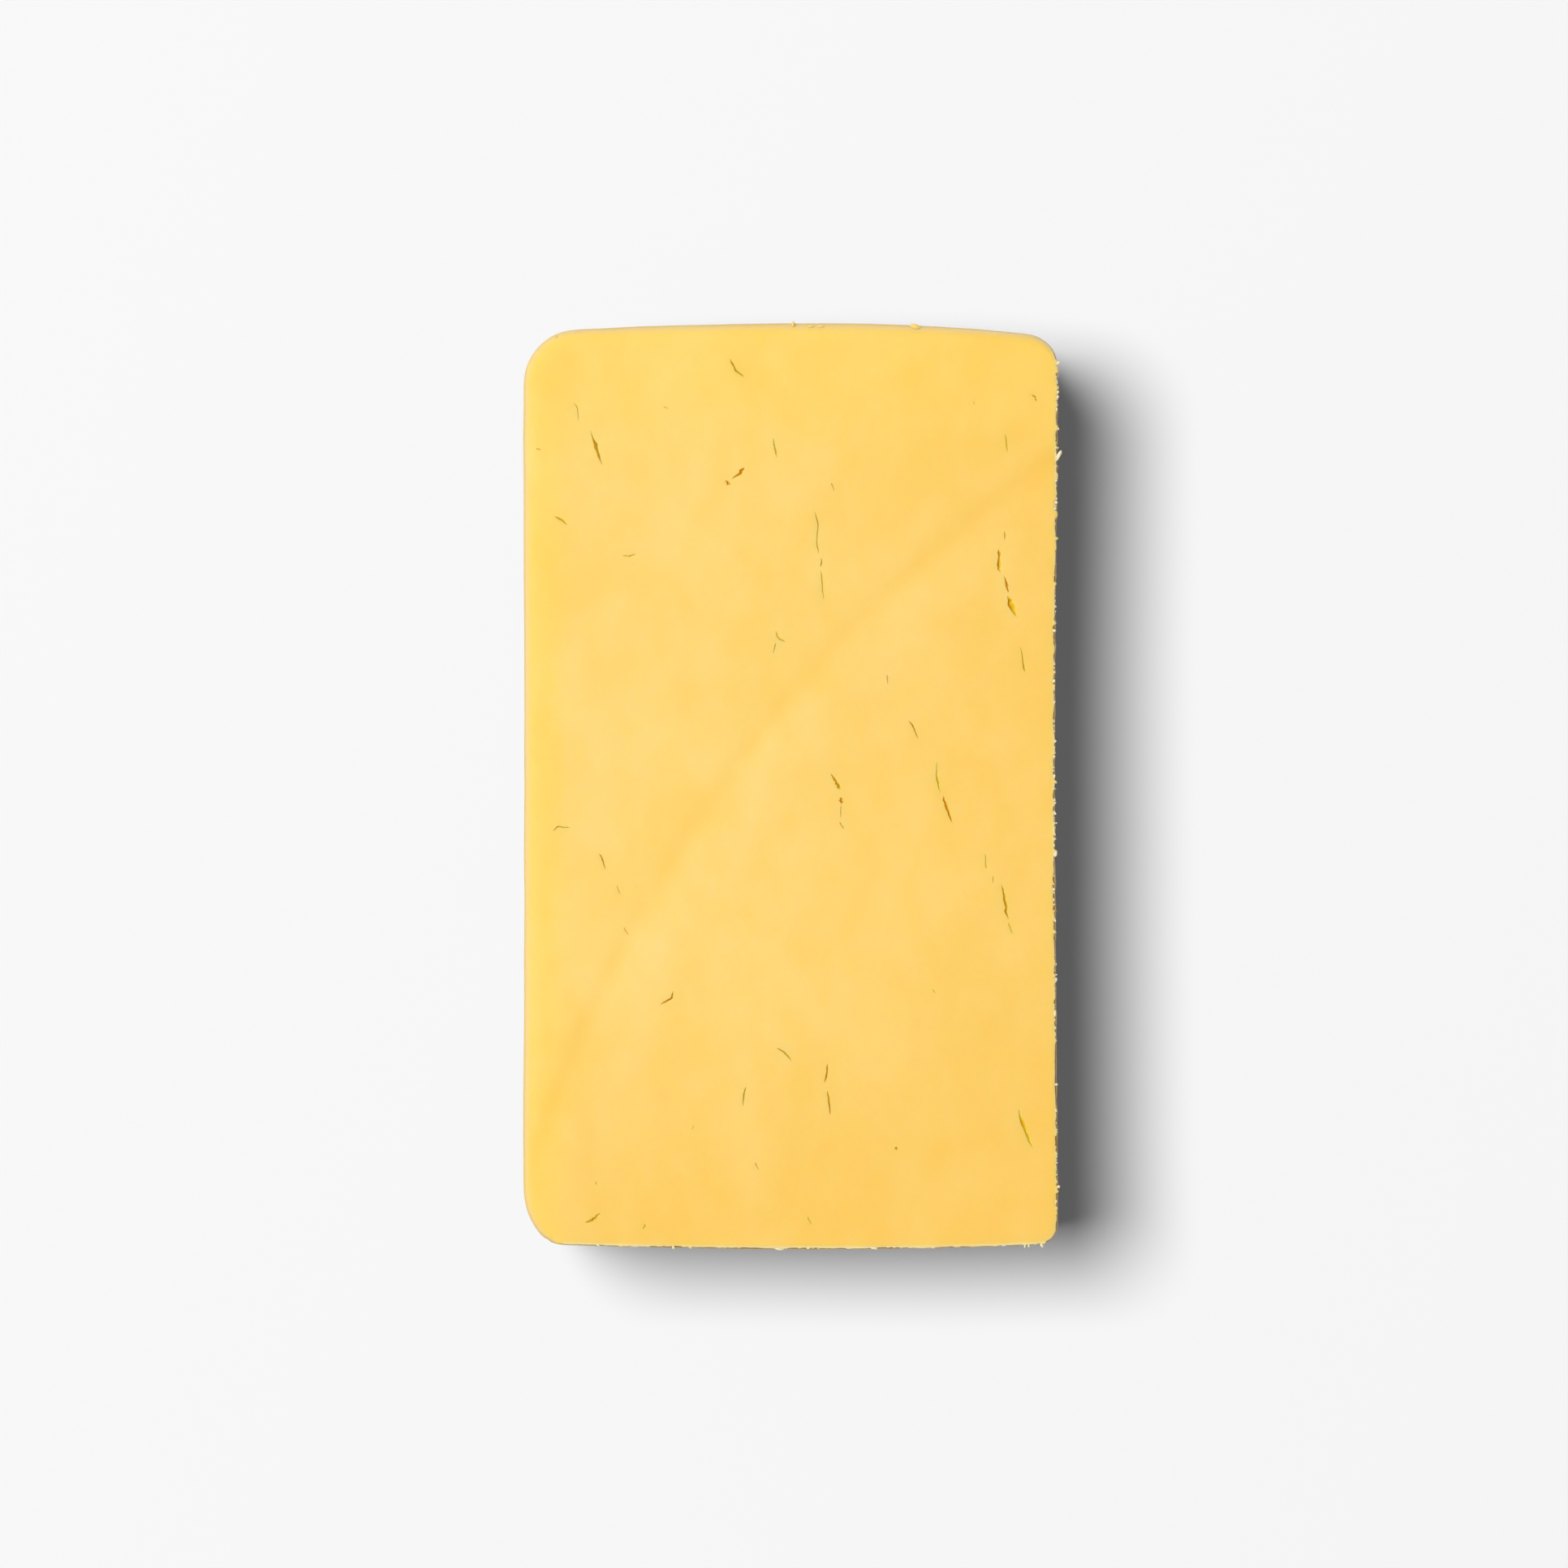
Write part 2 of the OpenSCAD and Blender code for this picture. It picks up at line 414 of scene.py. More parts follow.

# %% [markdown]
# ## The long crease
#
# A soft curved crease crosses the top face from the front left to the back right, where two
# slabs of curd knitted together. It is part of a big circle: a shallow groove with a low, wide
# swelling on its inner side. The same function later paints the colour, painted shade in the
# groove and a painted highlight on the swelling, so relief and colour stay together.

# %% Crease
CREASE_CENTRE = (131.7 * MM, -100.5 * MM)
CREASE_RADIUS = 172.9 * MM
CREASE_HALF_WIDTH = 1.4 * MM
SWELLING_FROM_CREASE = 5.0 * MM
SWELLING_HALF_WIDTH = 3.6 * MM
CREASE_DEPTH = 0.1 * MM
SWELLING_SHARE = 0.7
# Where along the block, from front to back, the crease appears and each part of it fades out.
CREASE_APPEARS = (-60 * MM, -44 * MM)
CREASE_FADES = (46 * MM, 54 * MM)
SWELLING_FADES = (25 * MM, 42 * MM)


def crease(places, normals):
    """From 1 in the crease's groove to minus SWELLING_SHARE on the swelling beside it."""
    away = np.hypot(places[:, 0] - CREASE_CENTRE[0], places[:, 1] - CREASE_CENTRE[1])
    away -= CREASE_RADIUS
    groove = np.exp(-(away / CREASE_HALF_WIDTH) ** 2)
    swelling = np.exp(-((away + SWELLING_FROM_CREASE) / SWELLING_HALF_WIDTH) ** 2)
    swelling *= 1 - smoothstep(*SWELLING_FADES, places[:, 1])
    on_top = smoothstep(0.7, 0.95, normals[:, 2])
    on_top *= smoothstep(*CREASE_APPEARS, places[:, 1])
    on_top *= 1 - smoothstep(*CREASE_FADES, places[:, 1])
    return (groove - SWELLING_SHARE * swelling) * on_top


places = read_vectors(block.data, "co")
normals = read_vectors(block.data, "normal")
folded = crease(places, normals)
places -= normals * (folded * CREASE_DEPTH)[:, None]
place_points(block, places)
print("crease:", int((folded > 0.5).sum()), "points sunk,", int((folded < -0.3).sum()), "raised")

# %% [markdown]
# ## Fissures
#
# As cheddar dries and is handled, short fissures open along the seams between curds. They run
# mostly lengthwise, leaning a little, and each is a ragged slit that pinches out at both ends.
# They are cut as real openings. One blade is modelled: a bar, cut into short lengths and squeezed
# towards its lower edge. Copies of it are bent along each fissure, roughened with seeded
# randomness and cut away from the block all at once with a boolean.

# %% The master blade
BLADE_LENGTHS = 12
BLADE_LEVELS = 3
BLADE_FOOT_SHARE = 0.2

bpy.ops.object.select_all(action="DESELECT")
bpy.ops.mesh.primitive_cube_add(size=1, location=(0.5, 0, -0.5))
bpy.ops.object.transform_apply(location=True, rotation=True, scale=True)
blade = bpy.context.object
blade.name = "blade"
bpy.ops.object.mode_set(mode="EDIT")
for axis, parts in ((0, BLADE_LENGTHS), (2, BLADE_LEVELS)):
    pick(blade, "edges", lambda edge: abs(edge.verts[0].co[axis] - edge.verts[1].co[axis]) > 0.5)
    bpy.ops.mesh.subdivide(number_cuts=parts - 1)
bpy.ops.object.mode_set(mode="OBJECT")
print("blade:", len(blade.data.polygons), "faces")

# %% [markdown]
# A fissure is drawn on the face it opens in. Each entry is a list of the points it runs through:
# how far right and up of the face's middle, and how wide it gapes there, in millimetres. Many
# pinch shut and open again a little to the side, so a long crack is a chain of short ones.

# %% Fissures in the top face
TOP_FISSURES = [
    [(-7.9, 56, 0.14), (-7.2, 54.5, 0.28), (-6, 53.5, 0.11)],
    [(31.6, 51.3, 0.12), (32.1, 50.9, 0.24), (32.3, 50.3, 0.1)],
    [(24, 50.4, 0.12), (24.2, 49.9, 0.06)],
    [(-28.4, 50.2, 0.06), (-27.9, 49.6, 0.12), (-27.7, 47.7, 0.05)],
    [(-16.6, 49.7, 0.14), (-15.9, 49.4, 0.07)],
    [(-26.2, 46.6, 0.08), (-25.8, 45.4, 0.14), (-25.4, 44.7, 0.5), (-25.4, 44.1, 0.28),
     (-25.1, 43.4, 0.3), (-24.9, 42.6, 0.2), (-24.6, 42, 0.06)],
    [(28.2, 46.1, 0.09), (28.4, 44.8, 0.18), (28.5, 43.6, 0.07)],
    [(-2.2, 45.6, 0.1), (-2, 44.1, 0.2), (-1.7, 42.9, 0.08)],
    [(-33.3, 44.2, 0.15), (-32.6, 44, 0.07)],
    [(-7.6, 40.1, 0.1), (-7.3, 40.5, 0.16), (-6.8, 40.75, 0.3), (-6.4, 41.1, 0.5),
     (-6, 41.7, 0.28)],
    [(-8.5, 40, 0.1), (-8.1, 39.65, 0.4), (-7.9, 39.4, 0.2)],
    [(5.4, 39.7, 0.15), (5.8, 38.6, 0.07)],
    [(3.2, 36, 0.07), (3.5, 34.9, 0.12), (3.7, 34.2, 0.14), (3.6, 33.2, 0.11),
     (3.5, 31.7, 0.11), (3.7, 31, 0.2), (3.75, 30.4, 0.07)],
    [(-30.9, 35.3, 0.14), (-29.9, 34.8, 0.28), (-29.2, 34.1, 0.11)],
    [(28.1, 33.4, 0.08), (28.15, 32.8, 0.16), (28.15, 32.2, 0.1)],
    [(27.35, 31.1, 0.1), (27.35, 30.3, 0.38), (27.4, 29.6, 0.24),
     (27.3, 29.1, 0.42), (27.35, 28.5, 0.34), (27.6, 27.9, 0.12)],
    [(-22, 30.2, 0.09), (-21, 30, 0.18), (-20.2, 30.4, 0.07)],
    [(4.1, 29.9, 0.08), (4.1, 29.1, 0.2), (4, 28.6, 0.1)],
    [(4.05, 28.2, 0.1), (4.2, 27, 0.16), (4.3, 25.5, 0.14), (4.4, 24.3, 0.06)],
    [(28.05, 27.5, 0.1), (28.25, 26.9, 0.2), (28.3, 26.5, 0.38), (28.5, 25.8, 0.26),
     (28.7, 25.3, 0.2)],
    [(28.5, 24.9, 0.16), (28.7, 24.3, 0.56), (29, 23.7, 0.66), (29.25, 22.9, 0.42),
     (29.7, 22, 0.06)],
    [(-1.9, 20.3, 0.11), (-1.6, 19.4, 0.22), (-0.6, 18.8, 0.09)],
    [(-1.9, 18.7, 0.14), (-2.2, 17.3, 0.07)],
    [(30.2, 18.2, 0.08), (30.45, 16.9, 0.16), (30.7, 15.4, 0.22), (30.8, 14.7, 0.1)],
    [(12.7, 14.5, 0.14), (12.8, 13.3, 0.07)],
    [(15.5, 8.5, 0.11), (16, 8, 0.22), (16.8, 6.1, 0.09)],
    [(19.3, 3.2, 0.08), (19.2, 2.2, 0.12), (19.2, 1.3, 0.16), (19.4, 0.4, 0.24), (19.7, -1, 0.1)],
    [(5.3, 1.6, 0.1), (5.7, 1, 0.26), (6.3, 0.1, 0.36), (6.55, -0.5, 0.55)],
    [(20.05, -1.3, 0.16), (20.2, -2, 0.32), (20.5, -2.9, 0.32), (20.9, -4, 0.24), (21.3, -5, 0.08)],
    [(6.65, -1.5, 0.2), (6.7, -2.1, 0.42), (6.7, -2.4, 0.12)],
    [(6.65, -2.6, 0.08), (6.65, -3.5, 0.1), (6.65, -4.3, 0.06)],
    [(6.5, -4.8, 0.18), (6.7, -5.2, 0.12), (7.05, -5.7, 0.14)],
    [(-31.1, -6, 0.1), (-30.5, -5.4, 0.2), (-28.8, -5.5, 0.08)],
    [(-25.1, -8.9, 0.1), (-24.7, -9.4, 0.2), (-24.2, -11.1, 0.08)],
    [(25.6, -8.9, 0.08), (25.65, -10.2, 0.16), (25.7, -10.9, 0.2)],
    [(26.6, -11.8, 0.1), (26.6, -12.4, 0.16), (26.6, -12.8, 0.1)],
    [(27.7, -12.9, 0.1), (28, -14.2, 0.24), (28.2, -15.5, 0.34),
     (28.35, -16.5, 0.36), (28.6, -17.6, 0.2)],
    [(-22.7, -13.1, 0.14), (-22.3, -14.3, 0.07)],
    [(28.65, -18, 0.24), (28.9, -18.8, 0.16), (29.2, -19.5, 0.1)],
    [(-21.8, -18.6, 0.14), (-21.2, -19.6, 0.07)],
    [(18.7, -26.7, 0.14), (19, -27.2, 0.07)],
    [(-17, -28.7, 0.15), (-15.5, -27.9, 0.3), (-15.3, -26.9, 0.12)],
    [(-1.8, -34.4, 0.12), (-0.7, -35, 0.24), (0.2, -36.1, 0.1)],
    [(4.9, -36.4, 0.13), (4.8, -37.8, 0.25), (4.5, -39, 0.1)],
    [(-5.8, -39.4, 0.11), (-6.1, -40.7, 0.22), (-6.2, -42.1, 0.09)],
    [(4.9, -40, 0.13), (5.1, -41.7, 0.25), (5.3, -43.2, 0.1)],
    [(29.9, -42.3, 0.15), (30.4, -44.1, 0.34), (31.1, -45.9, 0.38), (31.8, -47.6, 0.15)],
    [(-12.6, -44.6, 0.14), (-12.9, -45.1, 0.07)],
    [(13.8, -47.4, 0.4), (14, -47.8, 0.2)],
    [(-4.6, -49.4, 0.16), (-4.1, -50.4, 0.08)],
    [(-25.5, -51.9, 0.14), (-25.3, -52.4, 0.07)],
    [(-24.9, -56, 0.17), (-25.9, -56.9, 0.34), (-26.9, -57.3, 0.14)],
    [(2.3, -56.5, 0.18), (2.8, -57.6, 0.09)],
    [(-19.1, -57.4, 0.1), (-19, -57.8, 0.2), (-19.4, -58.2, 0.08)],
]

# %% [markdown]
# The other faces were not chosen one by one. Their fissures follow the same rule, drawn with a
# seeded random number generator: on the top and the underside they run lengthwise, on the end
# walls they stand upright, because each opens in an upright seam, and on the long walls only
# short slanting ones show.

# %% How a fissure is drawn at random
FACES = {
    "top": (Vector((1, 0, 0)), Vector((0, 1, 0)), Vector((0, 0, 1))),
    "under": (Vector((-1, 0, 0)), Vector((0, 1, 0)), Vector((0, 0, -1))),
    "right": (Vector((0, 1, 0)), Vector((0, 0, 1)), Vector((1, 0, 0))),
    "left": (Vector((0, -1, 0)), Vector((0, 0, 1)), Vector((-1, 0, 0))),
    "back": (Vector((-1, 0, 0)), Vector((0, 0, 1)), Vector((0, 1, 0))),
    "front": (Vector((1, 0, 0)), Vector((0, 0, 1)), Vector((0, -1, 0))),
}
# For each face: how many fissures, and the heading that most of them take, in degrees.
OTHER_FACES = {"under": (26, 95), "right": (17, 20), "left": (15, -15),
               "back": (13, 84), "front": (14, 98)}
MARGIN = 4.5
SPACING = 5.0
# The shortest, the longest and the usual length, in millimetres.
LENGTHS = (1.0, 6.0, 2.2)
HEADING_SCATTER = 14
LEAST_GAPE = 0.14
GAPE_PER_LENGTH = 0.06
MOST_GAPE = 0.5
GAPE_SCATTER = (0.7, 1.2)
WANDER = 0.05
# How wide a fissure gapes along its length: a share of the length, and of the widest gape.
GAPE_PROFILE = ((0, 0.3), (0.3, 0.9), (0.5, 0.6), (0.7, 1.0), (1, 0.3))


def drawn_fissure(draw, half_wide, half_high, heading):
    """One random fissure on a face, as its points in millimetres: right, up and gape."""
    length = draw.triangular(*LENGTHS)
    turn = math.radians(heading + draw.gauss(0, HEADING_SCATTER))
    start = Vector((draw.uniform(-half_wide, half_wide), draw.uniform(-half_high, half_high)))
    along = Vector((math.cos(turn), math.sin(turn)))
    across = Vector((-along.y, along.x))
    widest = min(LEAST_GAPE + GAPE_PER_LENGTH * length * draw.random(), MOST_GAPE)
    points = []
    for share, width in GAPE_PROFILE:
        spot = start + along * length * (share - 0.5) + across * draw.gauss(0, WANDER) * length
        points.append((spot.x, spot.y, widest * width * draw.uniform(*GAPE_SCATTER)))
    return points


# %% Fissures in the walls and the underside
draw = random.Random(41)
half = (high - low) / 2 / MM
all_fissures = [("top", points) for points in TOP_FISSURES]
for face, (count, heading) in OTHER_FACES.items():
    right, up, out = FACES[face]
    half_wide = abs(half.dot(right)) - MARGIN
    half_high = abs(half.dot(up)) - MARGIN
    middles = []
    while len(middles) < count:
        points = drawn_fissure(draw, half_wide, half_high, heading)
        spot = Vector(points[2][:2])
        if all((spot - other).length > SPACING for other in middles):
            middles.append(spot)
            all_fissures.append((face, points))
print("fissures:", len(all_fissures))

# %% [markdown]
# Laying a blade is like bending a strip of wire onto the cheese. For each short length of the
# blade, the place on the drawn line is found, a ray is shot at the block to find its skin there,
# and the blade's points are set down on both sides of that spot and below it. The blade narrows
# downwards, so it is laid a little wider than the fissure was drawn.

# %% Following a line over the skin
def along_line(points, share):
    """The spot at a share of a line's length, its gape and the line's direction there."""
    points = [Vector(point) for point in points]
    spans = [(b - a).xy.length for a, b in zip(points, points[1:])]
    left = share * sum(spans)
    for a, b, span in zip(points, points[1:], spans):
        if left <= span or b == points[-1]:
            spot = a.lerp(b, min(left / span, 1.0))
            return spot.xy, spot.z, (b - a).xy.normalized()
        left -= span


def skin_at(face, spot):
    """The place on the block's skin, and its normal, at a spot drawn on a face."""
    right, up, out = FACES[face]
    start = middle + (right * spot[0] + up * spot[1]) * MM + out * 2 * CLEAR_OF_BLOCK
    hit, place, normal, _ = block.ray_cast(start, -out)
    assert hit, (face, spot)
    return place, normal


# %% Laying one blade
BLADE_CLEARANCE = 0.25 * MM
WIDENING = 1.4
TIP_LENGTH = 0.12
LEAST_TIP = 0.15
# The depth in millimetres: at least, and more for each millimetre of length and of gape.
LEAST_DEPTH = 0.18
DEPTH_PER_LENGTH = 0.04
DEPTH_PER_GAPE = 0.95
DEEPEST = 1.0
MOST_TILT = 0.5
MOST_SHIFT = 0.25
WIDTH_SCATTER = (0.75, 1.25)
DEPTH_SCATTER = (0.75, 1.2)
POINT_SCATTER = (0.8, 1.2)


def lay_blade(face, points, draw):
    """A copy of the blade, bent along a fissure and roughened."""
    right, up, out = FACES[face]
    length = sum((Vector(b) - Vector(a)).xy.length for a, b in zip(points, points[1:]))
    tilt = draw.uniform(-MOST_TILT, MOST_TILT)
    copy = blade.copy()
    copy.data = blade.data.copy()
    bpy.context.scene.collection.objects.link(copy)
    stations = []
    for station in range(BLADE_LENGTHS + 1):
        share = station / BLADE_LENGTHS
        spot, gape, heading = along_line(points, share)
        place, normal = skin_at(face, spot)
        taper = max(min(share, 1 - share, TIP_LENGTH) / TIP_LENGTH, LEAST_TIP)
        depth = LEAST_DEPTH + DEPTH_PER_LENGTH * length + DEPTH_PER_GAPE * gape
        stations.append({
            "place": place, "normal": normal,
            "across": normal.cross(right * heading.x + up * heading.y).normalized(),
            "half_gape": gape / 2 * WIDENING * MM * taper * draw.uniform(*WIDTH_SCATTER),
            "shift": gape * MM * taper * draw.uniform(-MOST_SHIFT, MOST_SHIFT),
            "depth": min(depth, DEEPEST) * MM * taper * draw.uniform(*DEPTH_SCATTER),
        })
    for point in copy.data.vertices:
        station = stations[round(point.co.x * BLADE_LENGTHS)]
        level = -point.co.z
        width = station["half_gape"] * (1 - (1 - BLADE_FOOT_SHARE) * level)
        width *= draw.uniform(*POINT_SCATTER)
        side = math.copysign(1, point.co.y)
        down = (station["depth"] + BLADE_CLEARANCE) * level - BLADE_CLEARANCE
        point.co = (station["place"] - station["normal"] * down
                    + station["across"] * (station["shift"] + side * width + tilt * down))
    return copy


# %% Join the blades into one cutter
def join_all(pieces):
    """Joins pieces into one and returns it."""
    bpy.ops.object.select_all(action="DESELECT")
    for piece in pieces:
        piece.select_set(True)
    bpy.context.view_layer.objects.active = pieces[0]
    bpy.ops.object.join()
    return bpy.context.object


cutter = join_all([lay_blade(face, points, draw) for face, points in all_fissures])
bpy.data.objects.remove(blade)
print("cutter:", len(cutter.data.polygons), "faces")

# %% [markdown]
# The insides of the fissures get a material of their own. The cutter carries it, and the boolean
# hands it on to the new faces. The skin's normals are noted first: around a fissure they tilt
# once it is cut, and the masks painted later need to know how the skin lay before.

# %% Materials named and cut
skin_normals = read_vectors(block.data, "normal")
skin_places = read_vectors(block.data, "co")
skin_tree = KDTree(len(skin_places))
for index, place in enumerate(skin_places):
    skin_tree.insert(place, index)
skin_tree.balance()

cheddar = bpy.data.materials.new("cheddar")
fissure_wall = bpy.data.materials.new("fissure_wall")
crumb_cheese = bpy.data.materials.new("crumb_cheese")
block.data.materials.append(cheddar)
cutter.data.materials.clear()
cutter.data.materials.append(fissure_wall)
finish_with(block, "BOOLEAN", operation="DIFFERENCE", object=cutter, solver="MANIFOLD",
            material_mode="TRANSFER")
bpy.data.objects.remove(cutter)
choose(block)
bpy.ops.object.shade_smooth_by_angle(angle=math.radians(38))
block.vertex_groups.clear()
print("cut block:", sum(len(face.vertices) - 2 for face in block.data.polygons), "triangles,",
      [material.name for material in block.data.materials])

# %% [markdown]
# ## Crumbs
#
# Along the cut rim little crumbs and torn flakes still cling to the cheese. They are modelled
# from icospheres whose points are pushed about at random: a few finer ones for the crumbs that
# can be made out one by one, and coarse ones for the many that are as small as a grain of salt.
# Copies of them, stretched and turned, are set half into the cheese and joined into one mesh.

# %% Master crumbs
def master_crumb(subdivisions, offset, seed):
    """An angular lump about one unit across."""
    bpy.ops.object.select_all(action="DESELECT")
    bpy.ops.mesh.primitive_ico_sphere_add(subdivisions=subdivisions, radius=0.5)
    bpy.ops.object.mode_set(mode="EDIT")
    bpy.ops.mesh.select_all(action="SELECT")
    bpy.ops.transform.vertex_random(offset=offset, seed=seed)
    bpy.ops.object.mode_set(mode="OBJECT")
    return bpy.context.object


large_masters = [master_crumb(3, 0.07, seed) for seed in (3, 8, 21)]
small_masters = [master_crumb(1, 0.16, seed) for seed in (5, 13, 34)]
print("crumb masters:", [len(piece.data.polygons) for piece in large_masters + small_masters])

# %% [markdown]
# The larger crumbs have their own places. A row says where on the rim, how far the crumb's
# middle stands out from it, its length, width and thickness in millimetres, and which way it
# points, in degrees from straight out. On the back wall, where there is no cut rim, two slivers
# and a few low bumps stick out near the top.

# %% Places of the larger crumbs
LARGE_CRUMBS = {
    "right": [
        (55.4, 0.15, 0.6, 0.4, 0.4, 40), (51.6, 0.15, 0.4, 0.35, 0.3, 30),
        (50.9, 0.1, 0.45, 0.3, 0.3, 60), (49.3, 0.05, 0.5, 0.3, 0.3, 80),
        (43.2, 0.2, 1.7, 0.5, 0.45, 62), (37.1, 0.2, 0.42, 0.38, 0.4, 10),
        (36.3, 0.08, 0.35, 0.3, 0.3, 30), (20.3, 0.15, 0.5, 0.4, 0.3, 0),
        (13.7, 0.1, 0.5, 0.35, 0.3, 70), (3.8, 0.08, 0.4, 0.35, 0.3, 40),
        (1.2, 0.08, 0.5, 0.35, 0.3, 70), (-8.9, 0.15, 0.9, 0.5, 0.35, 85),
        (-13.6, 0.12, 0.4, 0.35, 0.3, 20), (-29.9, 0.05, 0.9, 0.4, 0.35, 85),
        (-39.2, 0.2, 0.4, 0.35, 0.35, 20), (-52.6, 0.12, 0.4, 0.38, 0.4, 0),
        (-54.6, 0.05, 0.5, 0.3, 0.3, 70),
    ],
    "front": [
        (33.0, 0.25, 0.65, 0.35, 0.35, 30), (31.3, 0.15, 0.45, 0.25, 0.3, 10),
        (30.8, 0.15, 0.5, 0.25, 0.3, -10), (28.0, 0.02, 0.6, 0.3, 0.3, 80),
        (11.0, 0.05, 0.9, 0.35, 0.3, 85), (-1.5, 0.08, 1.0, 0.35, 0.3, 80),
        (-13.0, 0.02, 0.3, 0.25, 0.25, 0), (-15.3, 0.2, 0.5, 0.35, 0.3, 10),
        (-25.2, 0.05, 0.5, 0.3, 0.3, 60),
    ],
    "back": [
        (-0.4, 0.35, 0.8, 0.4, 0.4, 0), (-2.7, 0.1, 0.9, 0.35, 0.4, 85),
        (-4.1, 0.1, 0.8, 0.35, 0.4, 95), (-16.4, 0.25, 1.4, 0.7, 0.6, 75),
        (30.7, 0.1, 0.4, 0.3, 0.3, 0),
    ],
}


# %% Setting one crumb
SINK_SHARE = 0.4


def set_crumb(master, place, out, size, heading, draw):
    """A crumb at a place. Its size is length, width and thickness in millimetres."""
    copy = master.copy()
    copy.data = master.data.copy()
    bpy.context.scene.collection.objects.link(copy)
    long_way = Matrix.Rotation(math.radians(heading), 3, "Z") @ out
    wide_way = Vector((0, 0, 1)).cross(long_way)
    spin = Matrix.Rotation(draw.uniform(0, math.tau), 3, "Z")
    for point in copy.data.vertices:
        local = spin @ point.co
        point.co = place + (long_way * local.x * size[0] + wide_way * local.y * size[1]
                            + Vector((0, 0, local.z * size[2]))) * MM
    return copy


# %% Set the larger crumbs
draw = random.Random(7)
crumb_list = []
for face, rows in LARGE_CRUMBS.items():
    right, up, out = FACES[face]
    for along, proud, *size, heading in rows:
        edge = rim_at(block, middle + right * along * MM, out, size[2] * SINK_SHARE * MM)
        place = edge + out * proud * MM
        crumb_list.append(set_crumb(draw.choice(large_masters), place, out, size, heading, draw))
print("large crumbs:", len(crumb_list))

# %% [markdown]
# The small ones are strewn with a seeded generator: most along the burr, where they thin out on
# the clean stretches, and a few further down the two cut walls.

# %% Strewing the small crumbs
RIM_CRUMBS = 420
WALL_CRUMBS = {"right": 50, "front": 30}
# The least, the greatest and the usual size, in millimetres.
RIM_CRUMB_SIZE = (0.12, 0.4, 0.16)
WALL_CRUMB_SIZE = (0.2, 0.9, 0.3)
# How far in and out of the burr a crumb may sit, and how far below the rim it may hang.
STANDS = (-0.12, 0.05)
HANGS = (0.05, 0.5, 0.1)
# How far wall crumbs keep from the wall's ends, its foot and its rim.
WALL_MARGINS = {"ends": 4, "foot": 3, "rim": 2}

while len(crumb_list) < RIM_CRUMBS:
    place, out, run = draw.choice(rim_rows)
    size = draw.triangular(*RIM_CRUMB_SIZE)
    if draw.random() > raggedness(run):
        continue
    stands = out * (burr(run) + draw.uniform(*STANDS) * MM)
    hangs = Vector((0, 0, -draw.triangular(*HANGS) * MM))
    crumb_list.append(set_crumb(
        draw.choice(small_masters), place + stands + hangs, out,
        (size * draw.uniform(1, 1.8), size, size), draw.uniform(0, 360), draw))
for face, count in WALL_CRUMBS.items():
    right, up, out = FACES[face]
    reach = abs(half.dot(right)) - WALL_MARGINS["ends"]
    bottom = WALL_MARGINS["foot"] - half.z
    top = half.z - WALL_MARGINS["rim"]
    for _ in range(count):
        spot = (draw.uniform(-reach, reach), draw.uniform(bottom, top))
        size = draw.triangular(*WALL_CRUMB_SIZE)
        crumb_list.append(set_crumb(
            draw.choice(small_masters), skin_at(face, spot)[0], out,
            (size * 0.7, size * draw.uniform(0.8, 1.6), size), draw.uniform(-30, 30), draw))
for master in large_masters + small_masters:
    bpy.data.objects.remove(master)
crumbs = join_all(crumb_list)
crumbs.name = "crumbs"
crumbs.data.materials.clear()
crumbs.data.materials.append(crumb_cheese)
choose(crumbs)
bpy.ops.object.shade_smooth_by_angle(angle=math.radians(40))
print("crumbs:", len(crumb_list), "with", len(crumbs.data.polygons), "faces")

# %% [markdown]
# ## Painted masks
#
# The materials need to know where the crease, the rounded edges, the burr, the painted shade
# under it and the cut walls are, where painted shade darkens the colour towards the right and
# the front, and where the colour yellows across the block. After the last cut, these are
# painted onto the finished points as plain numbers, called attributes. Each mask is a small
# function of a point's place and of the normal that the skin had there.

# %% Painting one mask
def paint(piece, name, values):
    """Stores one number for each point of a piece."""
    layer = piece.data.attributes.new(name, "FLOAT", "POINT")
    layer.data.foreach_set("value", np.asarray(values, np.float32))


# %% Where the edges have dried and get painted light
# The rounded edges are painted paler: partly dried cheese, partly painted light where they turn
# away from the lamp overhead.
EDGE_FADE = (0.8 * MM, 2.2 * MM)
FOOT_EDGE_FADE = (0.8 * MM, 2.5 * MM)
FOOT_EDGE_SHARE = 0.3
CORNER_SHARE = 0.25
LAMP_SIDE_EDGE_LOSS = 0.2


def dried_and_lit_edge_share(places, normals):
    """From 0 on the flats to 1 where a rim or corner has turned right over."""
    near_top = 1 - smoothstep(*EDGE_FADE, high.z - places[:, 2])
    near_top *= 1 - cut_share(places, normals)
    near_foot = 1 - smoothstep(*FOOT_EDGE_FADE, places[:, 2] - low.z)
    turned = smoothstep(0.0, 0.75, 1 - np.abs(normals[:, 2]))
    # Edges that face the lamp on the left get less of this painted light.
    turned *= 1 - LAMP_SIDE_EDGE_LOSS * np.clip(-normals[:, 0], 0, 1)
    round_corner = smoothstep(0.02, 0.2, 1 - np.abs(normals[:, :2]).max(axis=1))
    upright = smoothstep(0.8, 0.95, np.hypot(normals[:, 0], normals[:, 1]))
    return np.maximum(turned * (near_top + FOOT_EDGE_SHARE * near_foot),
                      CORNER_SHARE * round_corner * upright)


# %% The pale burr and the painted shade under it
BURR_WIDTH = 0.2 * MM
FRONT_BURR_EXTRA = 0.16 * MM
# How far along the rim the front begins, and how the painted shade fades at the rim's two ends.
FRONT_BEGINS = (114 * MM, 122 * MM)
SHADE_STARTS = (0, 3 * MM)
SHADE_ENDS = (2 * MM, 12 * MM)
